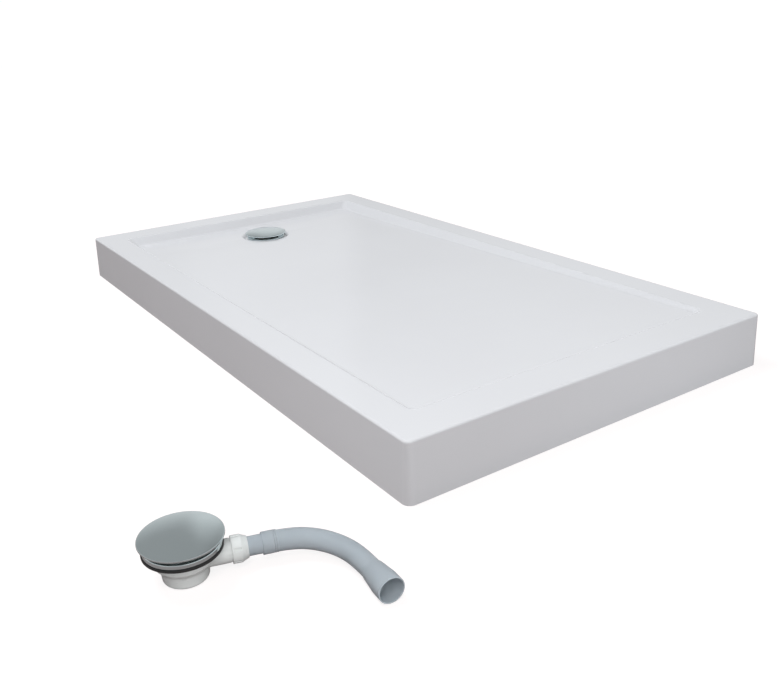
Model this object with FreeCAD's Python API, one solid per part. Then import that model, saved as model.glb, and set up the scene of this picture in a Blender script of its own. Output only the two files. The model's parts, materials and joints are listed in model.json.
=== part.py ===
import FreeCAD, Part
import math
import os
from FreeCAD import Placement, Rotation, Vector

# A shower tray with a full-height skirt, on screw feet, with its waste fitted in the drain, and a second
# waste kit with a hose that stands loose beside it. Millimetres: X across the tray, Y along it towards the
# drain, Z up. The origin is on the floor under the middle of the tray.

# Tray: one vacuum-formed sheet with a laminate on its back
tray_length = 1600.0        # over the foot of the skirt
tray_width = 900.0
tray_height = 112.0
skirt_lean = 5.0            # how far each side comes in from foot to rim
tray_corner = 11.0          # plan radius at the rim
rim_edge = 4.5              # rounding along the rim's outer edge
sheet = 3.5
laminate = 3.0
laminate_foot = 40.0        # the laminate ends this far above the floor
least_rounding = 0.5

# Basin
side_rim = 70.0
end_rim = 85.0
basin_corner = 14.0         # plan radius
wall_slope = math.radians(45)
front_depth = 9.0
drain_depth = 24.0
back_depth = 22.5           # the floor rises again behind the drain
cross_fall = 2.5            # the floor is this much higher along its sides than on the centre line
rim_rounding = 6.0
floor_rounding = 12.0

# Drain recess
drain_to_end = 235.0        # from the foot of the skirt to the drain's axis
recess_depth = 8.0
recess_radius = 61.0
recess_corner = 3.0
recess_lip = 9.0
recess_apron = 35.0         # nearly flat ring that runs the floor into the recess
apron_slope = math.radians(3)
waste_hole = 45.0

# Base board, bedded level under the sloping floor
bedding_least = 1.5
board_thickness = 12.0
board_side_margin = 40.0    # in from the basin's wall at rim level
board_end_margin = 40.0
board_corner = 20.0
trap_cutout = 82.0          # half the width of the cut-out round the trap

# Screw feet
foot_rows = 4
foot_to_side = 42.0         # from the board's edges to the nearest feet
foot_to_front = 45.0
foot_to_back = 35.0
bracket_radius = 32.0
bracket_plate = 4.0
bracket_boss_top = 15.0
bracket_boss_foot = 11.5
bracket_drop = 20.0         # from the board down to the end of the boss
bracket_ribs = 3
bracket_rib = 3.0
stud_radius = 5.0
stud_clearance = 0.05
stud_hole_extra = 2.0       # the board's hole is this much wider than the stud
stud_top_gap = 1.0          # left under the bedding
lock_nut_flats = 17.0
lock_nut_height = 7.0
pad_radius = 25.0
pad_edge = 4.0
pad_hub = 11.0
pad_height = 14.0
head_radius = 7.0            # the stud's swivel head, snapped into the pad
head_height = 3.0
head_floor = 5.0            # underside of the head above the floor
head_clearance = 0.05
spanner_flats = 14.0
spanner_height = 6.0
spanner_gap = 1.5
screw_radius = 2.2
screw_head = 4.2
screw_head_height = 2.4
screw_into_board = 9.0
screw_circle = 25.0
screw_clearance = 0.15

# Waste, about the drain's axis; heights are from the foot of the flange, the outlet points along +X
cover_radius = 60.0
cover_rise = 5.5
cover_sheet = 1.6
cover_lip = 3.0
cover_height = 13.5         # foot of the lip above the foot of the flange
stem_hub = 13.0
stem_hub_foot = 3.0
stem_fins = 3
stem_fin = 2.5
stem_fin_root = 4.0         # how high the fins' inner part stays above the flange's dish

flange_radius = 55.0
flange_bead = 6.5
flange_sheet = 1.2
flange_bead_width = 6.5
dish_depth = 5.0
dish_radius = 38.8
dish_shoulder = 42.2
dish_shoulder_depth = 1.9
washer_thickness = 1.0
washer_inner = 45.5
gasket_thickness = 2.0
gasket_radius = 56.5
clamp_screws = 3
clamp_circle = 35.3
clamp_screw_radius = 2.5
clamp_head = 3.1
clamp_head_height = 2.2
clamp_screw_length = 15.5
clamp_clearance = 0.1

trap_flange = 53.0
trap_flange_thickness = 2.5
trap_radius = 43.2
trap_taper = 1.2
trap_wall = 2.4
trap_shoulder = 19.0        # depth of the shoulder's top under the trap's flange
cup_top = 28.0
cup_radius = 34.0
cup_taper = 1.5
trap_depth = 48.0
cup_rounding = 5.0
shoulder_rounding = 4.0
well_mouth = 43.8
deck_depth = 4.5
deck_thickness = 2.5
throat_radius = 28.5
throat_wall = 2.5
throat_depth = 16.5
boss_radius = 4.2
boss_depth = 12.0
boss_floor = 1.2

outlet_drop = 20.5          # axis under the trap's flange
outlet_bore = 11.5
outlet_radius = 17.5
collar_start = 63.5
collar_end = 76.0
collar_radius = 16.8
collar_flare = 1.5          # how far the branch narrows down to the collar
socket_start = 62.0
nut_start = 65.0
nut_end = 80.0
nut_nose = 8.0
nut_nose_radius = 15.6
nut_radius = 20.0
nut_lugs = 6
nut_lug = 2.4
washer_length = 3.0
spigot_radius = 14.0
spigot_wall = 2.0
spigot_step = 0.2           # thinner where it runs through the nut and socket
spigot_end = 128.0
outlet_clearance = 0.1

insert_rim = 31.2
insert_rim_thickness = 1.5
insert_rim_clearance = 0.5
insert_collar = 27.8
insert_collar_wall = 4.3
insert_collar_depth = 10.5
insert_cone = 4.0
insert_tube = 22.0
insert_tube_wall = 2.0
insert_depth = 41.0         # end of the tube under the trap's flange
ring_section = 2.0
ring_depth = 6.0            # ring's centre under the deck
ring_clearance = 0.05
ring_groove = 2.8
pull_bar = 4.0
pull_bar_depth = 6.0

# Loose kit and its hose
loose_x = -793.0
loose_y = -750.0
loose_turn = -17.0          # degrees from +X to the way its outlet points
hose_radius = 15.5
hose_bore = 14.1
cuff_radius = 16.4
cuff_bore = 15.6
cuff_start = 108.0
cuff_stop = 2.0
cuff_length = 22.0
cuff_groove = 1.3
cuff_groove_depth = 0.5
cuff_grooves = (15.5, 18.5)  # along the cuff
end_cuff_root = 16.7
end_cuff_radius = 20.0
end_cuff_length = 50.0
end_cuff_overlap = 15.0
end_cuff_stop = 1.5
end_cuff_bore = 18.2
end_cuff_throat = 28.0      # where its bore reaches its full width
end_cuff_swell = 30.0       # where the cuff does
# the hose's route after its straight start, from the outlet's axis: along it, to its left, and how far
# it has come down towards the height at which the end cuff lies on the floor, from 0 to 1
hose_route = (
    (149.5, 0.0, 0.0),
    (187.0, -14.0, 0.25),
    (217.0, -40.5, 0.65),
    (235.0, -75.1, 1.0),
    (245.1, -119.0, 1.0),
)

across = Vector(1, 0, 0)
along = Vector(0, 1, 0)
up = Vector(0, 0, 1)
origin = Vector(0, 0, 0)

rim_half_width = tray_width / 2 - skirt_lean
rim_half_length = tray_length / 2 - skirt_lean
basin_half_width = rim_half_width - side_rim
basin_half_length = rim_half_length - end_rim
drain_y = tray_length / 2 - drain_to_end
tray_thickness = sheet + laminate
seat_height = tray_height - drain_depth - recess_depth
board_top = tray_height - drain_depth - tray_thickness - bedding_least
board_foot = board_top - board_thickness
board_half_width = basin_half_width - board_side_margin
board_half_length = basin_half_length - board_end_margin
far = 2 * tray_length


def rounded_outline(half_x, half_y, radius, z):
    corners = [
        (half_x - radius, radius - half_y, -90),
        (half_x - radius, half_y - radius, 0),
        (radius - half_x, half_y - radius, 90),
        (radius - half_x, radius - half_y, 180),
    ]
    arcs = [Part.makeCircle(radius, Vector(x, y, z), up, turn, turn + 90) for x, y, turn in corners]
    edges = []
    for arc, following in zip(arcs, arcs[1:] + arcs[:1]):
        edges += [arc, Part.makeLine(arc.Vertexes[-1].Point, following.Vertexes[0].Point)]
    return Part.Wire(edges)


def arc(start, corner, end):
    """The arc that touches both sides of a corner at start and end."""
    back, on = (start - corner).normalize(), (end - corner).normalize()
    half = back.getAngle(on) / 2
    radius = (start - corner).Length * math.tan(half)
    crown = corner + (back + on).normalize() * (radius / math.sin(half) - radius)
    return Part.Arc(start, crown, end).toShape()


def profile(corners):
    """A face in the XZ plane. A corner is (x, z), (x, z, c) to bevel it or (x, z, r, arc) to round it."""
    points = [Vector(corner[0], 0, corner[1]) for corner in corners]
    edges, ends = [], []
    for number, corner in enumerate(corners):
        point = points[number]
        back = (points[number - 1] - point).normalize()
        on = (points[(number + 1) % len(points)] - point).normalize()
        reach = corner[2] if len(corner) > 2 else 0.0
        if len(corner) == 4:
            reach = corner[2] / math.tan(back.getAngle(on) / 2)
        ends.append((point + back * reach, point + on * reach))
        if len(corner) == 4:
            edges.append(arc(ends[-1][0], point, ends[-1][1]))
        elif len(corner) == 3:
            edges.append(Part.makeLine(*ends[-1]))
    for number, (start, _) in enumerate(ends):
        leaving = ends[number - 1][1]
        if (start - leaving).Length > 1e-6:
            edges.append(Part.makeLine(leaving, start))
    return Part.Face(Part.Wire(Part.__sortEdges__(edges)))


def turned(corners):
    """Revolves (radius, height) corners about Z."""
    return profile(corners).revolve(origin, up, 360)


def turned_along_x(corners):
    """Revolves (radius, distance) corners about X."""
    return turned(corners).rotate(origin, along, 90)


def ring(outer, inner, foot, top):
    return turned([(inner, foot), (outer, foot), (outer, top), (inner, top)])


def rod(radius, foot, top, x=0.0, y=0.0):
    return Part.makeCylinder(radius, top - foot, Vector(x, y, foot))


def hexagon(flats, foot, top):
    corner = flats / math.sqrt(3)
    angles = [math.radians(60 * side) for side in range(7)]
    outline = Part.makePolygon([Vector(corner * math.cos(a), corner * math.sin(a), foot) for a in angles])
    return Part.Face(outline).extrude(Vector(0, 0, top - foot))


def round_axis(count, start=0.0):
    return [Rotation(up, start + 360 * number / count) for number in range(count)]


# ---- tray ----

def lean(z):
    return skirt_lean * z / tray_height


def block(behind):
    """The tray's outside without its basin, moved in by behind."""
    top = tray_height - behind

    def outline(z):
        inset = lean(z) + behind
        radius = tray_corner + skirt_lean - inset
        return rounded_outline(tray_width / 2 - inset, tray_length / 2 - inset, radius, z)

    solid = Part.makeLoft([outline(0), outline(top)], True, True)
    edges = [edge for edge in solid.Edges if edge.BoundBox.ZMin > top - 0.01]
    return solid.makeFillet(max(rim_edge - behind, least_rounding), edges)


def fall(depth_a, y_a, depth_b, y_b, behind):
    """The space over a floor that is straight along Y and slightly hollow across."""
    reach = rim_half_width
    bend = (basin_half_width**2 + cross_fall**2) / (2 * cross_fall)
    sag = bend - math.sqrt(bend**2 - reach**2)
    steepness = (depth_b - depth_a) / (y_b - y_a)

    def floor(y):
        return tray_height - behind - depth_a - steepness * (y - y_a)

    start, end = -rim_half_length, rim_half_length
    roof = 2 * tray_height
    low = Part.Arc(
        Vector(-reach, start, floor(start) + sag),
        Vector(0, start, floor(start)),
        Vector(reach, start, floor(start) + sag),
    ).toShape()
    ends = [Vector(reach, start, roof + sag), Vector(-reach, start, roof + sag)]
    lines = Part.makePolygon([low.Vertexes[1].Point, *ends, low.Vertexes[0].Point]).Edges
    face = Part.Face(Part.Wire([low, *lines]))
    return face.extrude(Vector(0, end - start, floor(end) - floor(start)))


def recess(behind):
    """The dished seat round the drain, with the apron that meets the floor."""
    spread = behind * math.tan(wall_slope / 2)
    seat = seat_height - behind
    lip = seat + recess_depth
    lip_radius = recess_radius + spread + recess_depth / math.tan(wall_slope)
    apron = lip_radius + recess_apron
    corners = [
        (0, seat),
        (recess_radius + spread, seat, recess_corner + behind, arc),
        (lip_radius, lip, max(recess_lip - behind, least_rounding), arc),
        (apron, lip + recess_apron * math.tan(apron_slope)),
        (apron, tray_height),
        (0, tray_height),
    ]
    return turned(corners).translate(Vector(0, drain_y, 0))


def basin(behind):
    """The space that the basin takes out of the block, moved out by behind."""

    def outline(z):
        run = (tray_height - z) / math.tan(wall_slope) - behind / math.sin(wall_slope)
        return rounded_outline(basin_half_width - run, basin_half_length - run, basin_corner + behind, z)

    foot = tray_height - behind - drain_depth - floor_rounding / 2
    walls = Part.makeLoft([outline(foot), outline(tray_height)], True, True)
    space = walls.common(fall(front_depth, -basin_half_length, drain_depth, drain_y, behind))
    space = space.common(fall(back_depth, basin_half_length, drain_depth, drain_y, behind))

    def is_floor_edge(edge):
        box = edge.BoundBox
        at_crease = box.YLength < 0.1 and abs(box.YMin - drain_y) < 0.1
        return box.ZMax < tray_height - behind - front_depth + cross_fall + 0.5 and not at_crease

    space = space.makeFillet(floor_rounding + behind, [e for e in space.Edges if is_floor_edge(e)])
    return space.fuse(recess(behind))


def tray_form(behind):
    """All that lies under the tray's surface, from behind under it."""
    top = tray_height - behind
    solid = block(behind).cut(basin(behind))

    def is_basin_edge(edge):
        box = edge.BoundBox
        inside = max(-box.XMin, box.XMax) < rim_half_width - side_rim / 3
        return box.ZMin > top - 0.01 and inside and max(-box.YMin, box.YMax) < rim_half_length - end_rim / 3

    edges = [edge for edge in solid.Edges if is_basin_edge(edge)]
    return solid.makeFillet(max(rim_rounding - behind, least_rounding), edges)


def board_blank(foot, top):
    outline = rounded_outline(board_half_width, board_half_length, board_corner, foot)
    blank = Part.Face(outline).extrude(Vector(0, 0, top - foot))
    slot = Part.makeBox(2 * trap_cutout, far, top - foot, Vector(-trap_cutout, drain_y, foot))
    return blank.cut(rod(trap_cutout, foot, top, 0, drain_y)).cut(slot)


def foot_spots():
    first, last = foot_to_front - board_half_length, board_half_length - foot_to_back
    pitch = (last - first) / (foot_rows - 1)
    half_spacing = board_half_width - foot_to_side
    return [(side * half_spacing, first + row * pitch) for row in range(foot_rows) for side in (-1, 1)]


def make_tray():
    skin, back, under = (tray_form(depth) for depth in (0, sheet, tray_thickness))
    hole = rod(waste_hole, 0, tray_height, 0, drain_y)
    above = Part.makeBox(far, far, far, Vector(-far / 2, -far / 2, laminate_foot))
    board = board_blank(board_foot, board_top)
    holes = [rod(stud_radius + stud_hole_extra, board_foot, board_top, x, y) for x, y in foot_spots()]
    screw_top = board_foot + screw_into_board
    for x, y in foot_spots():
        holes += [rod(screw_radius, board_foot, screw_top, x + s.x, y + s.y) for s in screw_spots()]
    return {
        "acrylic_shell": skin.cut(back).cut(hole),
        "fibreglass_laminate": back.cut(under).common(above).cut(hole),
        "resin_bedding": board_blank(board_top, tray_height).common(under),
        "base_board": board.cut(holes),
    }


# ---- screw feet, each made on its own axis at the origin and moved to its place ----

def screw_spots():
    return [turn.multVec(across * screw_circle) for turn in round_axis(3, 90)]


def foot_bracket():
    top, plate = board_foot, board_foot - bracket_plate
    foot = board_foot - bracket_drop
    body = turned([
        (0, foot), (bracket_boss_foot, foot, 1.0), (bracket_boss_top, plate),
        (bracket_radius, plate, 1.5), (bracket_radius, top), (0, top),
    ])
    rib_face = Part.makePolygon([
        Vector(bracket_boss_foot - 1, 0, foot + bracket_plate), Vector(bracket_radius - 3, 0, plate),
        Vector(bracket_boss_foot - 1, 0, plate), Vector(bracket_boss_foot - 1, 0, foot + bracket_plate),
    ])
    rib = Part.Face(rib_face).extrude(along * bracket_rib).translate(along * (-bracket_rib / 2))
    for turn in round_axis(bracket_ribs, 30):
        body = body.fuse(rib.transformed(Placement(origin, turn).toMatrix()))
    holes = [rod(screw_radius + screw_clearance, plate, top, spot.x, spot.y) for spot in screw_spots()]
    return body.cut([rod(stud_radius + stud_clearance, foot, top), *holes])


def bracket_screw(x, y):
    plate = board_foot - bracket_plate
    head = turned([
        (0, plate - screw_head_height), (screw_head, plate - screw_head_height, 0.9), (screw_head, plate),
        (screw_radius, plate), (screw_radius, board_foot + screw_into_board),
        (0, board_foot + screw_into_board),
    ])
    return head.translate(Vector(x, y, 0))


def lock_nut():
    top = board_foot - bracket_drop
    nut = hexagon(lock_nut_flats, top - lock_nut_height, top)
    return nut.cut(rod(stud_radius + stud_clearance, 0, top))


def foot_stud():
    collar = pad_height + spanner_gap
    body = turned([
        (0, head_floor), (head_radius, head_floor, 0.8), (head_radius, head_floor + head_height),
        (stud_radius, head_floor + head_height), (stud_radius, board_top - stud_top_gap, 1.0),
        (0, board_top - stud_top_gap),
    ])
    return body.fuse(hexagon(spanner_flats, collar, collar + spanner_height))


def foot_pad():
    body = turned([
        (0, 0), (pad_radius, 0, 0.6), (pad_radius, pad_edge, 1.2), (pad_hub, pad_edge + 3),
        (pad_hub, pad_height, 1.0), (0, pad_height),
    ])
    pocket_top = head_floor + head_height + head_clearance
    pocket = rod(head_radius + head_clearance, head_floor, pocket_top)
    return body.cut([pocket, rod(stud_radius + head_clearance, head_floor, pad_height)])


def make_feet():
    nodes, screws, nuts = {}, [], []
    for number, (x, y) in enumerate(foot_spots(), 1):
        place = Vector(x, y, 0)
        nodes[f"foot_bracket_{number}"] = foot_bracket().translate(place)
        nodes[f"foot_stud_{number}"] = foot_stud().translate(place)
        nodes[f"foot_pad_{number}"] = foot_pad().translate(place)
        screws += [bracket_screw(spot.x + x, spot.y + y) for spot in screw_spots()]
        nuts.append(lock_nut().translate(place))
    return {**nodes, "bracket_screws": Part.makeCompound(screws), "lock_nuts": Part.makeCompound(nuts)}


# ---- waste ----

def dome(radius, foot, crown, floor):
    """A spherical cap over a cylinder that stands on floor."""
    rise = crown - foot
    ball = (radius**2 + rise**2) / (2 * rise)
    cap = Part.makeSphere(ball, Vector(0, 0, crown - ball))
    return cap.common(rod(radius, floor, crown + 1))


def cover_levels():
    lip_top = cover_height + cover_lip
    return lip_top, lip_top + cover_rise


def waste_cover():
    lip_top, crown = cover_levels()
    outer = dome(cover_radius, lip_top, crown, cover_height)
    edges = [e for e in outer.Edges if len(e.Vertexes) == 1 and abs(e.BoundBox.ZMin - lip_top) < 0.1]
    outer = outer.makeChamfer(cover_sheet / 2, edges)
    return outer.cut(under_cover(cover_height))


def under_cover(floor):
    lip_top, crown = cover_levels()
    return dome(cover_radius - cover_sheet, lip_top - cover_sheet, crown - cover_sheet, floor)


def cover_stem():
    blade = Part.makeBox(dish_radius - stem_hub, stem_fin, far, Vector(stem_hub - 1, -stem_fin / 2, -dish_depth))
    inner = insert_rim + insert_rim_clearance
    arch = Part.makeBox(inner, stem_fin, stem_fin_root, Vector(0, -stem_fin / 2, -dish_depth))
    blade = blade.cut(arch)
    blades = [blade.transformed(Placement(origin, turn).toMatrix()) for turn in round_axis(stem_fins)]
    stem = rod(stem_hub, stem_hub_foot, cover_height + cover_lip + cover_rise).fuse(blades)
    return stem.common(under_cover(-dish_depth))


def clamp_turns():
    return round_axis(clamp_screws, 60)


def clamp_holes(radius, foot, top):
    spots = [turn.multVec(across * clamp_circle) for turn in clamp_turns()]
    return [rod(radius, foot, top, spot.x, spot.y) for spot in spots]


def drain_flange():
    """A pressed ring: its bead stands on the washer and its dish hangs in the hole."""
    edge = flange_radius - flange_sheet
    bead_inside = flange_radius - flange_bead_width
    dish_hole = insert_rim + insert_rim_clearance
    body = turned([
        (edge, 0), (flange_radius, 0), (flange_radius, flange_bead, 2.4), (bead_inside, flange_bead, 1.0),
        (dish_shoulder, -dish_shoulder_depth), (dish_radius, -dish_depth),
        (dish_hole, -dish_depth), (dish_hole, -dish_depth - flange_sheet),
        (dish_radius + 0.6 * flange_sheet, -dish_depth - flange_sheet),
        (dish_shoulder + 0.9 * flange_sheet, -dish_shoulder_depth - 0.6 * flange_sheet),
        (bead_inside + 0.5 * flange_sheet, flange_bead - flange_sheet),
        (edge, flange_bead - flange_sheet, 1.2),
    ])
    return body.cut(clamp_holes(clamp_screw_radius + clamp_clearance, -far, 0))


def clamp_screw():
    top = clamp_head_height - dish_depth
    return turned([
        (0, -dish_depth - clamp_screw_length), (clamp_screw_radius, -dish_depth - clamp_screw_length),
        (clamp_screw_radius, -dish_depth), (clamp_head, -dish_depth), (clamp_head, top, 0.9), (0, top),
    ])


def trap_gasket(deck):
    """An angle ring that covers the edge of the trap's flange."""
    wrap = trap_flange + 0.1
    return turned([
        (washer_inner, deck), (wrap, deck), (wrap, deck - trap_flange_thickness),
        (gasket_radius, deck - trap_flange_thickness, 0.8), (gasket_radius, deck + gasket_thickness, 0.8),
        (washer_inner, deck + gasket_thickness),
    ])


def trap_outside(deck):
    plate = deck - trap_flange_thickness
    return turned([
        (0, deck), (trap_flange, deck), (trap_flange, plate), (trap_radius, plate),
        (trap_radius - trap_taper, deck - trap_shoulder, shoulder_rounding, arc),
        (cup_radius, deck - cup_top),
        (cup_radius - cup_taper, deck - trap_depth, cup_rounding, arc), (0, deck - trap_depth),
    ])


def trap_inside(deck):
    inner = trap_radius - trap_wall
    plate = deck - trap_flange_thickness
    return turned([
        (0, deck + 1), (well_mouth, deck + 1), (well_mouth, deck), (inner, plate),
        (inner - trap_taper, deck - trap_shoulder), (cup_radius - trap_wall, deck - cup_top),
        (cup_radius - trap_wall - cup_taper, deck - trap_depth + trap_wall, cup_rounding / 2),
        (0, deck - trap_depth + trap_wall),
    ])


def trap_body(deck):
    axis = Vector(0, 0, deck - outlet_drop)
    branch = turned_along_x([
        (0, throat_radius), (outlet_radius, throat_radius), (outlet_radius, collar_start - collar_flare),
        (collar_radius, collar_start), (collar_radius, collar_end), (0, collar_end),
    ]).translate(axis)
    socket = spigot_radius + outlet_clearance
    bore = turned_along_x([
        (0, throat_radius), (outlet_bore, throat_radius), (outlet_bore, socket_start),
        (socket, socket_start), (socket, collar_end), (0, collar_end),
    ]).translate(axis)
    shell = trap_outside(deck).fuse(branch).cut([trap_inside(deck), bore])
    top = deck - deck_depth
    foot = top - deck_thickness
    ledge = ring(trap_radius - trap_wall / 2 - trap_taper / 2, throat_radius, foot, top)
    throat = ring(throat_radius + throat_wall, throat_radius, top - throat_depth, top)
    bosses = clamp_holes(boss_radius, foot - boss_depth, top)
    inside = shell.fuse([ledge, throat, *bosses])
    bores = clamp_holes(clamp_screw_radius + clamp_clearance, foot - boss_depth + boss_floor, top)
    return inside.cut([*bores, rod(throat_radius, top - throat_depth, top)])


def trap_insert(deck):
    """The lift-out tube that dips into the cup and makes the water seal."""
    seat = deck - deck_depth
    groove = seat - ring_depth
    groove_floor = throat_radius - ring_clearance - ring_section - ring_clearance
    collar_foot = seat - insert_collar_depth
    inner = insert_collar - insert_collar_wall
    tube = turned([
        (inner, seat + insert_rim_thickness), (insert_rim, seat + insert_rim_thickness), (insert_rim, seat),
        (insert_collar, seat), (insert_collar, groove + ring_groove / 2), (groove_floor, groove + ring_groove / 2),
        (groove_floor, groove - ring_groove / 2), (insert_collar, groove - ring_groove / 2),
        (insert_collar, collar_foot), (insert_tube, collar_foot - insert_cone),
        (insert_tube, deck - insert_depth), (insert_tube - insert_tube_wall, deck - insert_depth),
        (insert_tube - insert_tube_wall, collar_foot - insert_cone), (inner, collar_foot),
    ])
    top = seat + insert_rim_thickness
    bar_size = (2 * inner + 1, pull_bar, pull_bar_depth)
    bar = Part.makeBox(*bar_size, Vector(-inner - 0.5, -pull_bar / 2, top - pull_bar_depth))
    return tube.fuse(bar)


def insert_ring(deck):
    middle, outer = deck - deck_depth - ring_depth, throat_radius - ring_clearance
    foot, top = middle - ring_section / 2, middle + ring_section / 2
    return turned([
        (outer - ring_section, foot), (outer, foot, 0.4), (outer, top, 0.4), (outer - ring_section, top),
    ])


def outlet_washer():
    return turned_along_x([
        (spigot_radius + outlet_clearance, collar_end), (collar_radius, collar_end),
        (collar_radius, collar_end + washer_length), (spigot_radius + outlet_clearance, collar_end + washer_length),
    ])


def outlet_nut():
    hole, thread = spigot_radius + outlet_clearance, collar_radius + outlet_clearance
    web = collar_end + washer_length
    body = turned_along_x([
        (thread, nut_start), (nut_radius, nut_start, 1.0), (nut_radius, nut_end, 2.0),
        (nut_nose_radius, nut_end + nut_nose, 1.0), (hole, nut_end + nut_nose), (hole, web), (thread, web),
    ])
    lug = Part.makeCylinder(nut_lug, nut_end - nut_start - 4, Vector(nut_start + 2, 0, nut_radius - 0.6), across)
    lugs = [
        lug.transformed(Placement(origin, Rotation(across, 360 * n / nut_lugs)).toMatrix())
        for n in range(nut_lugs)
    ]
    return body.fuse(lugs)


def outlet_spigot():
    inner, held = spigot_radius - spigot_wall, spigot_radius - spigot_step
    free = nut_end + nut_nose
    return turned_along_x([
        (inner, socket_start), (held, socket_start), (held, free), (spigot_radius, free),
        (spigot_radius, spigot_end), (inner, spigot_end),
    ])


def make_waste(clamped):
    """One waste with its outlet, with a wall of the thickness clamped between its two seals."""
    deck = -washer_thickness - clamped - gasket_thickness
    drop = Vector(0, 0, deck - outlet_drop)
    screws = [
        clamp_screw().translate(turn.multVec(across * clamp_circle)) for turn in clamp_turns()
    ]
    return {
        "cover": waste_cover(),
        "cover_stem": cover_stem(),
        "flange": drain_flange(),
        "flange_washer": ring(flange_radius, washer_inner, -washer_thickness, 0),
        "clamp_screws": Part.makeCompound(screws),
        "trap_gasket": trap_gasket(deck),
        "trap_body": trap_body(deck),
        "trap_insert": trap_insert(deck),
        "insert_ring": insert_ring(deck),
        "outlet_washer": outlet_washer().translate(drop),
        "outlet_nut": outlet_nut().translate(drop),
        "outlet_spigot": outlet_spigot().translate(drop),
    }


# ---- loose kit's hose ----

def hose_points():
    """The route's corners in the loose kit's own frame, whose origin is the foot of its flange."""
    axis = -washer_thickness - gasket_thickness - outlet_drop
    lying = end_cuff_radius - loose_flange_height()
    start = Vector(cuff_start + cuff_stop, 0, axis)
    return [start] + [Vector(x, y, axis + (lying - axis) * share) for x, y, share in hose_route]


def hose_path(points):
    edges, here = [], points[0]
    for before, point, after in zip(points, points[1:], points[2:]):
        back, on = before - point, after - point
        reach = 0.45 * min(back.Length, on.Length)
        start, end = point + back.normalize() * reach, point + on.normalize() * reach
        radius = reach * math.tan(back.getAngle(on) / 2)
        edges += [Part.makeLine(here, start), arc(start, point, end)]
        here = end
        print(f"hose bend: radius {radius:.0f} mm, {radius / (2 * hose_radius):.1f} diameters")
    return Part.Wire([*edges, Part.makeLine(here, points[-1])])


def tube_along(path, radius):
    start = path.Edges[0]
    section = Part.Wire(Part.makeCircle(radius, start.Vertexes[0].Point, start.tangentAt(start.FirstParameter)))
    return path.makePipeShell([section], True, False)


def hose():
    path = hose_path(hose_points())
    solid = tube_along(path, hose_radius).cut(tube_along(path, hose_bore))
    expected = math.pi * (hose_radius**2 - hose_bore**2) * path.Length
    print(f"hose: {path.Length:.1f} mm long, volume {solid.Volume / expected:.4f} of section times length")
    return solid


def hose_cuff():
    """The sleeve that holds the hose on the spigot, with two ring grooves."""
    end = cuff_start + cuff_length
    corners = [(spigot_radius + outlet_clearance, cuff_start), (cuff_radius, cuff_start, 0.5)]
    for groove in cuff_grooves:
        near, off = cuff_start + groove, cuff_radius - cuff_groove_depth
        corners += [(cuff_radius, near), (off, near), (off, near + cuff_groove), (cuff_radius, near + cuff_groove)]
    corners += [
        (cuff_radius, end, 0.4), (cuff_bore, end), (cuff_bore, cuff_start + cuff_stop),
        (spigot_radius + outlet_clearance, cuff_start + cuff_stop),
    ]
    return turned_along_x(corners).translate(Vector(0, 0, hose_points()[0].z))


def end_cuff():
    """The wider moulded mouth on the hose's far end, made along Z and laid along the hose's last run."""
    stop = end_cuff_overlap + end_cuff_stop
    solid = turned([
        (cuff_bore, 0), (end_cuff_root, 0, 0.6), (end_cuff_radius, end_cuff_swell),
        (end_cuff_radius, end_cuff_length, 0.7), (end_cuff_bore, end_cuff_length), (end_cuff_bore, end_cuff_throat),
        (cuff_bore, stop), (hose_bore, stop), (hose_bore, end_cuff_overlap), (cuff_bore, end_cuff_overlap),
    ])
    last, end = hose_points()[-2:]
    run = (end - last).normalize()
    return solid.transformed(Placement(end - run * end_cuff_overlap, Rotation(up, run)).toMatrix())


def loose_flange_height():
    return trap_depth + gasket_thickness + washer_thickness


def placed(nodes, prefix, place, turn):
    matrix = Placement(place, Rotation(up, turn)).toMatrix()
    return {prefix + name: shape.transformed(matrix) for name, shape in nodes.items()}


def make_wastes():
    fitted = make_waste(tray_thickness)
    loose = make_waste(0.0)
    loose.update({"hose": hose(), "hose_cuff": hose_cuff(), "hose_end_cuff": end_cuff()})
    return {
        **placed(fitted, "drain_", Vector(0, drain_y, seat_height + washer_thickness), 90),
        **placed(loose, "loose_", Vector(loose_x, loose_y, loose_flange_height()), loose_turn),
    }


os.makedirs("parts", exist_ok=True)
for name, shape in {**make_tray(), **make_feet(), **make_wastes()}.items():
    if not shape.isValid():
        print(f"{name} is not valid")
    shape.exportStep(f"parts/{name}.step")
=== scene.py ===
import json
import math

import bpy
from mathutils import Matrix, Vector

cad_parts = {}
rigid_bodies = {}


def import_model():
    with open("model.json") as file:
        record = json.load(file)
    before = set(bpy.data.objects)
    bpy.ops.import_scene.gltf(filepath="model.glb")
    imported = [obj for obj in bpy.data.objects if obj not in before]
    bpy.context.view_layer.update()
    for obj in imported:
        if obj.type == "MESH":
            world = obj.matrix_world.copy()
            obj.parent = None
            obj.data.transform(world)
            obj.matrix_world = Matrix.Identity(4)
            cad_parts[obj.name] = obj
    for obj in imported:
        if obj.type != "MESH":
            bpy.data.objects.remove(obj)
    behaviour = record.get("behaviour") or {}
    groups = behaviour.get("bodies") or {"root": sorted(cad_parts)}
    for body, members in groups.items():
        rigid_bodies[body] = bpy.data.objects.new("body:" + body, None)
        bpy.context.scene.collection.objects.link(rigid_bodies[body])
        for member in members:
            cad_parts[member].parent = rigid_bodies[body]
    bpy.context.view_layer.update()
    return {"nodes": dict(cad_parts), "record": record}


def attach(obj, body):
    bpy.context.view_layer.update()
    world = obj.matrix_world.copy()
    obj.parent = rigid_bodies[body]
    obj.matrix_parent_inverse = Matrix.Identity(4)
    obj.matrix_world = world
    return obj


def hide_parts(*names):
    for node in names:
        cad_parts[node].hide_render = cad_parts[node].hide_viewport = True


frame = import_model()
nodes = frame["nodes"]
print("frame loaded:", len(nodes), "nodes")

mm = 0.001

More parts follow.
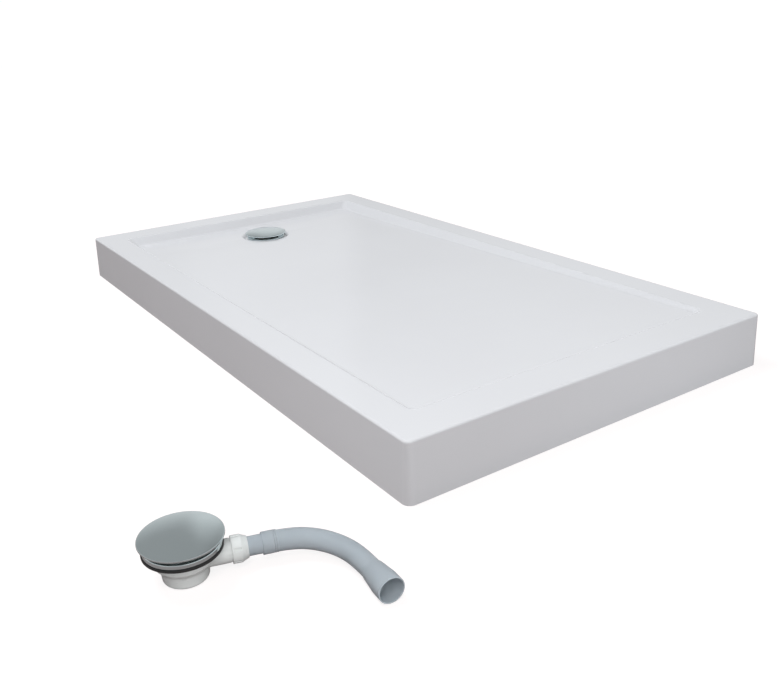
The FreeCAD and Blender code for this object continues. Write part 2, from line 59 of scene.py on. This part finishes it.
# each waste: the foot of its flange, the way its outlet points, and the bodies that its pieces ride on
wastes = {
    "loose": {
        "foot": Vector((-0.793, -0.750, 0.051)), "turn": -17.0, "body": "loose_trap", "lid": "loose_lid",
    },
    "drain": {
        "foot": Vector((0, 0.565, 0.081)), "turn": 90.0, "body": "tray", "lid": "drain_lid",
    },
}

camera = {
    "place": (-1.08955, -1.72933, 0.73295),
    "right": (0.82462362, -0.56461009, -0.03480426),
    "down": (-0.24203315, -0.29654567, -0.92384015),
    "ahead": (0.51128842, 0.77024419, -0.38119292),
    "lens": 39.27,
    "sensor": 36.0,
    "nearest": 0.05,
    "farthest": 60,
}


def addCamera(spec):
    bpy.ops.object.camera_add()
    cam = bpy.context.object
    right, down, ahead = (Vector(spec[key]) for key in ("right", "down", "ahead"))
    turn = Matrix((right, -down, -ahead)).transposed()
    cam.matrix_world = Matrix.Translation(Vector(spec["place"])) @ turn.to_4x4()
    cam.data.lens = spec["lens"]
    cam.data.sensor_width = spec["sensor"]
    cam.data.clip_start, cam.data.clip_end = spec["nearest"], spec["farthest"]
    bpy.context.scene.camera = cam


addCamera(camera)
print("camera placed")

# distances in metres under which points merge, and angles in degrees over which an edge counts as sharp
meshing = {"merge": 1e-6, "weld": 1e-5, "angle": 32, "wideAngle": 40}


def deselect():
    bpy.ops.object.select_all(action="DESELECT")


def pick(obj):
    deselect()
    obj.select_set(True)
    bpy.context.view_layer.objects.active = obj


# (r, z) corners stay sharp, (r, z, rounding) corners become arcs
def rounded(corners, steps=6):
    line = []
    for number, corner in enumerate(corners):
        here = Vector(corner[:2])
        if len(corner) < 3:
            line.append(tuple(here))
            continue
        before = (Vector(corners[number - 1][:2]) - here).normalized()
        after = (Vector(corners[(number + 1) % len(corners)][:2]) - here).normalized()
        half = before.angle(after) / 2
        reach = corner[2] / math.tan(half)
        centre = here + (before + after).normalized() * (corner[2] / math.sin(half))
        start, end = here + before * reach - centre, here + after * reach - centre
        turn = math.atan2(end.y, end.x) - math.atan2(start.y, start.x)
        turn = (turn + math.pi) % (2 * math.pi) - math.pi
        for step in range(steps + 1):
            line.append(tuple(centre + Matrix.Rotation(turn * step / steps, 2) @ start))
    return line


# a circle of that many steps, pulled ring by ring along a line of (radius, height) in mm
def lathe(name, line, steps, closed=True):
    deselect()
    radius, height = line[0]
    bpy.ops.mesh.primitive_circle_add(vertices=steps, radius=radius * mm, location=(0, 0, height * mm))
    obj = bpy.context.object
    obj.name = obj.data.name = name
    bpy.ops.object.transform_apply()
    bpy.ops.object.mode_set(mode="EDIT")
    bpy.ops.mesh.select_mode(type="EDGE")
    bpy.ops.mesh.select_all(action="SELECT")
    for newRadius, newHeight in line[1:] + (line[:1] if closed else []):
        lift = (0, 0, (newHeight - height) * mm)
        bpy.ops.mesh.extrude_region_move(TRANSFORM_OT_translate={"value": lift})
        grow = newRadius / radius
        bpy.ops.transform.resize(value=(grow, grow, 1), center_override=(0, 0, 0))
        radius, height = newRadius, newHeight
    bpy.ops.mesh.select_all(action="SELECT")
    bpy.ops.mesh.remove_doubles(threshold=meshing["merge"])
    if not closed:
        bpy.ops.mesh.fill_holes(sides=0)
    bpy.ops.mesh.select_all(action="SELECT")
    bpy.ops.mesh.normals_make_consistent(inside=False)
    bpy.ops.object.mode_set(mode="OBJECT")
    return obj


def addBevel(obj, width, angle):
    bevel = obj.modifiers.new("softEdges", "BEVEL")
    bevel.width, bevel.segments = width * mm, 2
    bevel.limit_method, bevel.angle_limit = "ANGLE", math.radians(angle)
    return bevel


def smooth(obj, angle):
    pick(obj)
    bpy.ops.object.shade_smooth_by_angle(angle=math.radians(angle))


# lays a turned piece down along +X at that height
def alongX(obj, height):
    pick(obj)
    obj.rotation_euler = (0, math.pi / 2, 0)
    obj.location = (0, 0, height * mm)
    bpy.ops.object.transform_apply()


# from the waste's own frame to where that waste stands
def standAt(obj, waste):
    pick(obj)
    obj.rotation_euler = (0, 0, math.radians(waste["turn"]))
    obj.location = waste["foot"]
    bpy.ops.object.transform_apply()


def copyOf(obj, name):
    twin = obj.copy()
    twin.data = obj.data.copy()
    twin.name = twin.data.name = name
    bpy.context.collection.objects.link(twin)
    return twin


def dress(obj, body, replaced, slotName):
    obj.data.materials.clear()
    obj.data.materials.append(materials[slotName])
    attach(obj, body)
    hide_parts(replaced)


# the piece goes to the loose waste and its copy to the one in the tray;
# where the heights of the outlets' axes are given, it is first laid along the outlet
def dressBoth(loosePiece, nodeKind, carrier, slotName, axis=None):
    drainPiece = copyOf(loosePiece, loosePiece.name.replace("loose", "drain"))
    for side, piece in (("loose", loosePiece), ("drain", drainPiece)):
        if axis:
            alongX(piece, axis[side])
        standAt(piece, wastes[side])
        dress(piece, wastes[side][carrier], f"{side}_{nodeKind}", slotName)


def tree(name):
    material = bpy.data.materials.new(name)
    material.use_nodes = True
    links = material.node_tree.links
    shader = material.node_tree.nodes["Principled BSDF"]
    coords = material.node_tree.nodes.new("ShaderNodeTexCoord")
    return material, material.node_tree.nodes, links, shader, coords.outputs["Object"]


def noise(nodeSet, links, coords, scale, detail, stretch=None):
    texture = nodeSet.new("ShaderNodeTexNoise")
    texture.inputs["Scale"].default_value = scale
    texture.inputs["Detail"].default_value = detail
    if stretch:
        mapping = nodeSet.new("ShaderNodeMapping")
        mapping.inputs["Scale"].default_value = stretch
        links.new(coords, mapping.inputs["Vector"])
        coords = mapping.outputs["Vector"]
    links.new(coords, texture.inputs["Vector"])
    return texture.outputs["Fac"]


# without a range of its own, a value is taken to be noise, which keeps to the middle of 0 to 1
def ranged(nodeSet, links, value, low, high, fromLow=0.3, fromHigh=0.7):
    mapped = nodeSet.new("ShaderNodeMapRange")
    limits = {"From Min": fromLow, "From Max": fromHigh, "To Min": low, "To Max": high}
    for socketName, limit in limits.items():
        mapped.inputs[socketName].default_value = limit
    links.new(value, mapped.inputs["Value"])
    return mapped.outputs["Result"]


def blended(nodeSet, links, value, first, second):
    mix = nodeSet.new("ShaderNodeMix")
    mix.data_type = "RGBA"
    mix.inputs["A"].default_value = (*first, 1)
    mix.inputs["B"].default_value = (*second, 1)
    links.new(value, mix.inputs["Factor"])
    return mix.outputs["Result"]


def bumped(nodeSet, links, height, depth):
    bump = nodeSet.new("ShaderNodeBump")
    bump.inputs["Strength"].default_value = 1.0
    bump.inputs["Distance"].default_value = depth * mm
    links.new(height, bump.inputs["Height"])
    return bump.outputs["Normal"]


# patch, wear and grain are the scales of the noise in colour, roughness and relief, finer as they grow;
# depth is the relief's in mm, fibres stretch colour and relief, milky is the share of light that goes in
finishes = {
    "acrylic": {
        "colours": ((0.83, 0.840, 0.866), (0.85, 0.862, 0.888)), "patch": 3.0,
        "roughness": (0.06, 0.10), "wear": 9.0, "grain": 260.0, "depth": 0.008,
    },
    "laminate": {
        "colours": ((0.60, 0.57, 0.44), (0.76, 0.74, 0.62)), "patch": 90.0,
        "roughness": (0.35, 0.6), "wear": 60.0, "grain": 190.0, "depth": 0.5, "fibres": (1, 14, 4),
    },
    "bedding_resin": {
        "colours": ((0.50, 0.48, 0.40), (0.64, 0.62, 0.54)), "patch": 25.0,
        "roughness": (0.5, 0.75), "wear": 30.0, "grain": 120.0, "depth": 0.3,
    },
    "board": {
        "colours": ((0.34, 0.22, 0.12), (0.62, 0.47, 0.30)), "patch": 190.0,
        "roughness": (0.6, 0.85), "wear": 40.0, "grain": 320.0, "depth": 0.25, "fibres": (3, 1, 2),
    },
    "bracket_plastic": {
        "colours": ((0.022, 0.022, 0.024), (0.034, 0.034, 0.036)), "patch": 30.0,
        "roughness": (0.42, 0.55), "wear": 80.0, "grain": 1500.0, "depth": 0.03,
    },
    "zinc_steel": {
        "colours": ((0.50, 0.49, 0.44), (0.66, 0.66, 0.63)), "patch": 70.0, "metallic": 1.0,
        "roughness": (0.28, 0.48), "wear": 240.0, "grain": 700.0, "depth": 0.015,
    },
    "foot_plastic": {
        "colours": ((0.018, 0.018, 0.019), (0.03, 0.03, 0.031)), "patch": 40.0,
        "roughness": (0.5, 0.65), "wear": 90.0, "grain": 1300.0, "depth": 0.04,
    },
    "chrome": {
        "colours": ((0.67, 0.755, 0.77), (0.70, 0.785, 0.80)), "patch": 12.0, "metallic": 1.0,
        "roughness": (0.14, 0.19), "wear": 60.0, "grain": 900.0, "depth": 0.002,
    },
    "screw_steel": {
        "colours": ((0.46, 0.46, 0.46), (0.58, 0.58, 0.58)), "patch": 200.0, "metallic": 1.0,
        "roughness": (0.2, 0.36), "wear": 500.0, "grain": 1500.0, "depth": 0.01,
    },
    "stem_plastic": {
        "colours": ((0.66, 0.66, 0.64), (0.70, 0.70, 0.68)), "patch": 40.0,
        "roughness": (0.35, 0.5), "wear": 120.0, "grain": 1400.0, "depth": 0.02,
    },
    "seal_rubber": {
        "colours": ((0.012, 0.012, 0.012), (0.024, 0.024, 0.025)), "patch": 60.0,
        "roughness": (0.42, 0.6), "wear": 150.0, "grain": 1100.0, "depth": 0.03,
    },
    "trap_plastic": {
        "colours": ((0.64, 0.665, 0.66), (0.68, 0.705, 0.70)), "patch": 25.0,
        "roughness": (0.26, 0.38), "wear": 90.0, "grain": 1200.0, "depth": 0.015, "milky": 0.35,
    },
    "hose_plastic": {
        "colours": ((0.355, 0.398, 0.432), (0.388, 0.434, 0.47)), "patch": 18.0,
        "roughness": (0.32, 0.46), "wear": 70.0, "grain": 900.0, "depth": 0.025, "milky": 0.7,
    },
}
noiseDetail = {"patch": 3.0, "wear": 5.0, "grain": 2.0}
milkyDepth = 3 * mm


def finishMaterial(name, spec):
    material, nodeSet, links, shader, coords = tree(name)
    fibres = spec.get("fibres")
    patches = noise(nodeSet, links, coords, spec["patch"], noiseDetail["patch"], fibres)
    shade = ranged(nodeSet, links, patches, 0, 1)
    links.new(blended(nodeSet, links, shade, *spec["colours"]), shader.inputs["Base Color"])
    worn = noise(nodeSet, links, coords, spec["wear"], noiseDetail["wear"])
    links.new(ranged(nodeSet, links, worn, *spec["roughness"]), shader.inputs["Roughness"])
    relief = noise(nodeSet, links, coords, spec["grain"], noiseDetail["grain"], fibres)
    links.new(bumped(nodeSet, links, relief, spec["depth"]), shader.inputs["Normal"])
    shader.inputs["Metallic"].default_value = spec.get("metallic", 0.0)
    shader.inputs["Subsurface Weight"].default_value = spec.get("milky", 0.0)
    shader.inputs["Subsurface Radius"].default_value = (1.0, 1.0, 1.0)
    shader.inputs["Subsurface Scale"].default_value = milkyDepth
    return material


materials = {name: finishMaterial(name, spec) for name, spec in finishes.items()}
slotOf = {part["node"]: part["material_slot"] for part in frame["record"]["subparts"]}
for nodeName, obj in nodes.items():
    obj.data.materials.clear()
    obj.data.materials.append(materials[slotOf[nodeName]])
print("materials made:", len(materials))

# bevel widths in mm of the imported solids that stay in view
softEdges = {
    "trap_body": 0.4, "trap_gasket": 0.4, "outlet_spigot": 0.4, "cover_stem": 0.4, "trap_insert": 0.4,
    "foot_pad": 0.4, "foot_bracket": 0.6, "base_board": 0.8, "lock_nuts": 0.5,
}


def softenNode(nodeName, obj):
    weld = obj.modifiers.new("weld", "WELD")
    weld.merge_threshold = meshing["weld"]
    width = next((size for part, size in softEdges.items() if part in nodeName), None)
    if width:
        addBevel(obj, width, meshing["wideAngle"])
    even = obj.modifiers.new("evenShading", "WEIGHTED_NORMAL")
    even.keep_sharp = True


# radii and heights above the flange's foot in mm; the tip is the small ring on which the dome closes
cover = {
    "radius": 60.0, "foot": 13.5, "lipTop": 16.5, "crown": 22.0, "sheet": 1.6, "edge": 1.3, "lip": 0.5,
    "domePoints": 18, "tip": 0.2, "steps": 128,
}


# from the rim to the tip, along a shallow spherical cap
def domeLine(radius, foot, crown):
    rise = crown - foot
    ball = (radius**2 + rise**2) / (2 * rise)
    points = cover["domePoints"]
    line = []
    for step in range(points + 1):
        r = radius * (1 - step / points) + cover["tip"] * step / points
        line.append((r, crown - ball + math.sqrt(ball**2 - r**2)))
    return line


def makeCover():
    radius, lipTop, crown = cover["radius"], cover["lipTop"], cover["crown"]
    sheet, foot, lip = cover["sheet"], cover["foot"], cover["lip"]
    outer = domeLine(radius, lipTop, crown)
    inner = domeLine(radius - sheet, lipTop - sheet, crown - sheet)
    corners = [(radius - sheet, foot, lip), (radius, foot, lip), (radius, lipTop, cover["edge"])]
    # the two points of the domes only show the first and last rounding their way
    edge = rounded([inner[1], *corners, outer[1]])[1:-1]
    obj = lathe("looseCover", inner[::-1][:-1] + edge + outer[1:], cover["steps"], closed=False)
    smooth(obj, meshing["wideAngle"])
    return obj


dressBoth(makeCover(), "cover", "lid", "chrome")
print("covers made")

# the pressed ring's section, from the foot of its bead inwards and back under its sheet
flange = {
    "steps": 128,
    "section": (
        (53.8, 0.0), (55.0, 0.0), (55.0, 6.5, 2.4), (48.5, 6.5, 1.8), (42.2, -1.9, 1.5), (38.8, -5.0, 1.0),
        (31.7, -5.0), (31.7, -6.2), (39.5, -6.2, 1.2), (43.28, -2.62), (49.1, 5.3), (53.8, 5.3, 1.2),
    ),
}

looseFlange = lathe("looseFlange", rounded(flange["section"]), flange["steps"])
smooth(looseFlange, meshing["wideAngle"])
dressBoth(looseFlange, "flange", "body", "chrome")
print("flanges made")

# radii and distances along the outlet in mm; its axis is a height above the flange's foot
nut = {
    "steps": 72,
    "section": (
        (16.9, 65.0), (20.0, 65.0), (20.0, 67.0), (20.0, 78.5), (18.8, 80.0), (15.6, 88.0), (14.1, 88.0),
        (14.1, 79.0), (16.9, 79.0),
    ),
    "lugs": 6, "lugHeight": 1.9, "lugHalfAngle": 5, "lugsOutside": 19.8, "lugsFrom": 67.0, "lugsTo": 78.5,
    "edge": 0.5, "axis": {"loose": -23.5, "drain": -30.0},
}


def isOnLug(middle):
    pitch = 360 / nut["lugs"]
    outside = math.hypot(middle.x, middle.y) > nut["lugsOutside"] * mm
    along = nut["lugsFrom"] * mm < middle.z < nut["lugsTo"] * mm
    angle = math.degrees(math.atan2(middle.y, middle.x)) % pitch
    return outside and along and min(angle, pitch - angle) < nut["lugHalfAngle"]


def makeNut():
    obj = lathe("looseNut", nut["section"], nut["steps"])
    pick(obj)
    bpy.ops.object.mode_set(mode="EDIT")
    bpy.ops.mesh.select_mode(type="FACE")
    bpy.ops.mesh.select_all(action="DESELECT")
    bpy.ops.object.mode_set(mode="OBJECT")
    for face in obj.data.polygons:
        face.select = isOnLug(face.center)
    bpy.ops.object.mode_set(mode="EDIT")
    outwards = {"value": -nut["lugHeight"] * mm}
    bpy.ops.mesh.extrude_region_shrink_fatten(TRANSFORM_OT_shrink_fatten=outwards)
    bpy.ops.object.mode_set(mode="OBJECT")
    pick(obj)
    bpy.ops.object.modifier_apply(modifier=addBevel(obj, nut["edge"], meshing["angle"]).name)
    smooth(obj, meshing["angle"])
    return obj


dressBoth(makeNut(), "outlet_nut", "body", "trap_plastic", axis=nut["axis"])
print("nuts made")

hose = {
    "radius": 15.5, "bore": 14.1, "resolution": 24, "bevelResolution": 11, "cuffSteps": 72,
    # corners of the route from the loose waste's axis: along the outlet, to its left, share of the drop
    "route": (
        (110.0, 0.0, 0.0), (149.5, 0.0, 0.0), (187.0, -14.0, 0.25),
        (217.0, -40.5, 0.65), (235.0, -75.1, 1.0), (245.1, -119.0, 1.0),
    ),
    "outletHeight": -23.5, "lyingHeight": -31.0,
}
# lengths run along the outlet from the waste's axis
startCuff = {
    "radius": 16.4, "bore": 15.6, "start": 108.0, "stop": 110.0, "end": 130.0, "edge": 0.6,
    "grooves": (123.5, 126.5), "groove": 1.3, "depth": 0.6, "grooveEdge": 0.3, "slant": 0.2, "arcSteps": 3,
}
# lengths run from its own start, which lies back over the hose by the overlap
endCuff = {
    "seat": 15.6, "root": 16.7, "radius": 20.0, "bore": 18.2, "funnel": 15.9,
    "overlap": 15.0, "stop": 16.5, "throat": 28.0, "swell": 30.0, "length": 50.0,
    "roundings": {"root": 0.6, "swell": 60.0, "lip": 0.8, "mouth": 0.5},
}


def looseToWorld(point):
    turn = Matrix.Rotation(math.radians(wastes["loose"]["turn"]), 3, "Z")
    return wastes["loose"]["foot"] + turn @ (Vector(point) * mm)


def routePoints():
    drop = hose["lyingHeight"] - hose["outletHeight"]
    return [looseToWorld((x, y, hose["outletHeight"] + drop * share)) for x, y, share in hose["route"]]


def routeCurve(bevel):
    curve = bpy.data.curves.new("hoseRoute", "CURVE")
    curve.dimensions = "3D"
    curve.resolution_u = hose["resolution"]
    curve.bevel_depth = bevel
    curve.bevel_resolution = hose["bevelResolution"]
    spline = curve.splines.new("NURBS")
    points = routePoints()
    spline.points.add(len(points) - 1)
    for point, place in zip(spline.points, points):
        point.co = (*place, 1)
    spline.order_u = 3
    spline.use_endpoint_u = True
    obj = bpy.data.objects.new("hoseRoute", curve)
    bpy.context.collection.objects.link(obj)
    bpy.context.view_layer.update()
    return obj


def meshOfCurve(obj, name):
    mesh = bpy.data.meshes.new_from_object(obj.evaluated_get(bpy.context.evaluated_depsgraph_get()))
    mesh.name = name
    curve = obj.data
    bpy.data.objects.remove(obj)
    bpy.data.curves.remove(curve)
    return mesh


def makeHose():
    line = meshOfCurve(routeCurve(0.0), "hoseLine")
    path = [vertex.co.copy() for vertex in line.vertices]
    bpy.data.meshes.remove(line)
    mesh = meshOfCurve(routeCurve(hose["radius"] * mm), "looseHose")
    obj = bpy.data.objects.new("looseHose", mesh)
    bpy.context.collection.objects.link(obj)
    pick(obj)
    bpy.ops.object.mode_set(mode="EDIT")
    bpy.ops.mesh.select_all(action="SELECT")
    bpy.ops.mesh.remove_doubles(threshold=meshing["merge"])
    bpy.ops.mesh.normals_make_consistent(inside=False)
    bpy.ops.object.mode_set(mode="OBJECT")
    wall = obj.modifiers.new("wall", "SOLIDIFY")
    wall.thickness = (hose["radius"] - hose["bore"]) * mm
    wall.offset = -1
    bpy.ops.object.modifier_apply(modifier=wall.name)
    smooth(obj, meshing["wideAngle"])
    return obj, path


def makeStartCuff():
    spec = startCuff
    radius, floor, bore = spec["radius"], spec["radius"] - spec["depth"], spec["bore"]
    corners = [(hose["bore"], spec["start"]), (radius, spec["start"], spec["edge"])]
    for near in spec["grooves"]:
        far = near + spec["groove"]
        corners += [(radius, near, spec["grooveEdge"]), (floor, near + spec["slant"])]
        corners += [(floor, far - spec["slant"]), (radius, far, spec["grooveEdge"])]
    corners += [(radius, spec["end"], spec["edge"]), (bore, spec["end"])]
    corners += [(bore, spec["stop"]), (hose["bore"], spec["stop"])]
    obj = lathe("looseHoseCuff", rounded(corners, spec["arcSteps"]), hose["cuffSteps"])
    smooth(obj, meshing["angle"])
    alongX(obj, hose["outletHeight"])
    standAt(obj, wastes["loose"])
    return obj


def makeEndCuff():
    spec = endCuff
    roundings = spec["roundings"]
    line = rounded([
        (spec["seat"], 0.0), (spec["root"], 0.0, roundings["root"]),
        (spec["radius"], spec["swell"], roundings["swell"]),
        (spec["radius"], spec["length"], roundings["lip"]),
        (spec["bore"], spec["length"], roundings["mouth"]), (spec["bore"], spec["throat"]),
        (spec["funnel"], spec["stop"]), (hose["bore"], spec["stop"]),
        (hose["bore"], spec["overlap"]), (spec["seat"], spec["overlap"]),
    ])
    obj = lathe("looseHoseEndCuff", line, hose["cuffSteps"])
    smooth(obj, meshing["angle"])
    route = routePoints()
    run = (route[-1] - route[-2]).normalized()
    pick(obj)
    obj.rotation_mode = "QUATERNION"
    obj.rotation_quaternion = run.to_track_quat("Z", "Y")
    obj.location = route[-1] - run * spec["overlap"] * mm
    bpy.ops.object.transform_apply()
    obj.rotation_mode = "XYZ"
    return obj


looseHose, hosePath = makeHose()
hoseCuff = makeStartCuff()
hoseEnd = makeEndCuff()
hosePieces = {"loose_hose": looseHose, "loose_hose_cuff": hoseCuff, "loose_hose_end_cuff": hoseEnd}
for node, piece in hosePieces.items():
    dress(piece, "loose_trap", node, "hose_plastic")

for nodeName, obj in nodes.items():
    if not obj.hide_render:
        softenNode(nodeName, obj)
print("solids softened")

studio = {
    "floorSize": 24.0, "floorColour": (0.255, 0.215, 0.21), "mirroredFloor": 0.06,
    # how bright the camera sees the floor, near and far from its middle, between two distances
    "seenFloor": {"near": 0.85, "far": 1.0, "from": 1.2, "to": 3.5},
    "skyColour": (0.985, 0.992, 1.0), "sky": 0.40, "seenSky": 1.03,
    # what gloss and metal show of the room: paler low down than high up,
    "mirroredSky": {"low": 0.66, "high": 0.32, "from": 0.15, "to": 0.50},
    # and in it a soft edge, paler to its left and growing paler again farther to its right
    "screen": {
        "across": (0.857, -0.515, 0.0), "left": 1.12, "right": 0.88, "edge": 0.015, "rise": 1.3, "to": 0.30,
    },
    # behind the tray the pale part reaches higher than behind the loose waste
    "higher": {"across": (0.930, -0.3665, 0.0), "edge": 0.04, "lift": 0.22},
}
lamps = [
    {
        "name": "key", "place": (-1.6, 1.2, 4.8), "aim": (0.0, 0.0, 0.1),
        "size": (2.0, 2.0), "power": 117.0, "colour": (0.965, 0.978, 1.0),
    },
    {
        "name": "nearCorner", "place": (-1.3, -1.9, 1.6), "aim": (-0.3, -0.6, 0.1),
        "size": (0.7, 0.7), "power": 15.0, "colour": (1.0, 0.99, 0.985),
    },
    # lower than the rim, so that it lifts the short side of the skirt and leaves the basin as it is
    {
        "name": "lowFront", "place": (0.25, -1.7, 0.055), "aim": (0.25, -0.8, 0.055),
        "size": (0.6, 0.09), "power": 2.1, "colour": (0.93, 0.97, 1.0),
    },
    # the loose waste is lit by itself as well, from in front of the hose's open end
    {
        "name": "kitFront", "place": (-0.92, -1.95, 0.42), "aim": (-0.68, -0.85, 0.03),
        "size": (0.5, 0.4), "power": 6.0, "colour": (1.0, 1.0, 1.0), "onlyFor": "loose",
    },
]


def maths(nodeSet, links, kind, first, second):
    step = nodeSet.new("ShaderNodeMath")
    step.operation = kind
    for socket, value in zip(step.inputs, (first, second)):
        if isinstance(value, float):
            socket.default_value = value
        else:
            links.new(value, socket)
    return step.outputs[0]


def mirrorRay(nodeSet, links, rays):
    glossy, through = rays.outputs["Is Glossy Ray"], rays.outputs["Is Transmission Ray"]
    return maths(nodeSet, links, "MAXIMUM", glossy, through)


def lengthAlong(nodeSet, links, direction, axis):
    dot = nodeSet.new("ShaderNodeVectorMath")
    dot.operation = "DOT_PRODUCT"
    links.new(direction, dot.inputs[0])
    dot.inputs[1].default_value = axis
    return dot.outputs["Value"]


def addFloor(spec):
    bpy.ops.mesh.primitive_plane_add(size=spec["floorSize"])
    floor = bpy.context.object
    floor.name = "studioFloor"
    material = bpy.data.materials.new("paleFloor")
    material.use_nodes = True
    nodeSet, links = material.node_tree.nodes, material.node_tree.links
    nodeSet.clear()
    output = nodeSet.new("ShaderNodeOutputMaterial")
    both = nodeSet.new("ShaderNodeAddShader")
    matt = nodeSet.new("ShaderNodeBsdfDiffuse")
    matt.inputs["Color"].default_value = (*spec["floorColour"], 1)
    glow = nodeSet.new("ShaderNodeEmission")
    rays = nodeSet.new("ShaderNodeLightPath")
    coords = nodeSet.new("ShaderNodeTexCoord")
    away = nodeSet.new("ShaderNodeVectorMath")
    away.operation = "LENGTH"
    links.new(coords.outputs["Object"], away.inputs[0])
    seenFloor = spec["seenFloor"]
    paler = ranged(nodeSet, links, away.outputs["Value"], seenFloor["near"], seenFloor["far"],
                   seenFloor["from"], seenFloor["to"])
    seen = maths(nodeSet, links, "MULTIPLY", rays.outputs["Is Camera Ray"], paler)
    mirrored = maths(nodeSet, links, "MULTIPLY", mirrorRay(nodeSet, links, rays), spec["mirroredFloor"])
    links.new(maths(nodeSet, links, "ADD", seen, mirrored), glow.inputs["Strength"])
    links.new(matt.outputs[0], both.inputs[0])
    links.new(glow.outputs[0], both.inputs[1])
    links.new(both.outputs[0], output.inputs["Surface"])
    floor.data.materials.append(material)


def setSky(spec):
    world = bpy.data.worlds.new("studioSky")
    bpy.context.scene.world = world
    world.use_nodes = True
    nodeSet, links = world.node_tree.nodes, world.node_tree.links
    background = nodeSet["Background"]
    rays = nodeSet.new("ShaderNodeLightPath")
    coords = nodeSet.new("ShaderNodeTexCoord")
    split = nodeSet.new("ShaderNodeSeparateXYZ")
    direction = coords.outputs["Generated"]
    links.new(direction, split.inputs["Vector"])
    room, screen, higher = spec["mirroredSky"], spec["screen"], spec["higher"]
    behindTray = lengthAlong(nodeSet, links, direction, higher["across"])
    lift = ranged(nodeSet, links, behindTray, 0.0, higher["lift"], -higher["edge"], higher["edge"])
    level = maths(nodeSet, links, "SUBTRACT", split.outputs["Z"], lift)
    height = ranged(nodeSet, links, level, room["low"], room["high"], room["from"], room["to"])
    off = lengthAlong(nodeSet, links, direction, screen["across"])
    step = ranged(nodeSet, links, off, screen["left"], screen["right"], -screen["edge"], screen["edge"])
    rise = ranged(nodeSet, links, off, 1.0, screen["rise"], screen["edge"], screen["to"])
    shown = maths(nodeSet, links, "MULTIPLY", height, maths(nodeSet, links, "MULTIPLY", step, rise))
    lit = nodeSet.new("ShaderNodeMix")
    links.new(mirrorRay(nodeSet, links, rays), lit.inputs["Factor"])
    lit.inputs["A"].default_value = spec["sky"]
    links.new(shown, lit.inputs["B"])
    direct = nodeSet.new("ShaderNodeMix")
    links.new(rays.outputs["Is Camera Ray"], direct.inputs["Factor"])
    links.new(lit.outputs["Result"], direct.inputs["A"])
    direct.inputs["B"].default_value = spec["seenSky"]
    links.new(direct.outputs["Result"], background.inputs["Strength"])
    background.inputs["Color"].default_value = (*spec["skyColour"], 1)


def addLamp(spec):
    bpy.ops.object.light_add(type="AREA", location=spec["place"])
    lamp = bpy.context.object
    lamp.name = spec["name"]
    lamp.data.shape = "RECTANGLE"
    lamp.data.size, lamp.data.size_y = spec["size"]
    lamp.data.energy = spec["power"]
    lamp.data.color = spec["colour"]
    lamp.visible_camera = lamp.visible_glossy = False
    lamp.rotation_mode = "QUATERNION"
    toAim = Vector(spec["aim"]) - Vector(spec["place"])
    lamp.rotation_quaternion = toAim.to_track_quat("-Z", "Y")
    # a lamp with onlyFor lights just the pieces whose names start with that
    if "onlyFor" in spec:
        lit = bpy.data.collections.new(spec["name"] + "Pieces")
        for piece in bpy.context.scene.objects:
            if piece.type == "MESH" and piece.name.startswith(spec["onlyFor"]):
                lit.objects.link(piece)
        lamp.light_linking.receiver_collection = lit


addFloor(studio)
setSky(studio)
for lampSpec in lamps:
    addLamp(lampSpec)
bpy.context.scene.view_settings.view_transform = "Standard"
print("studio lit")
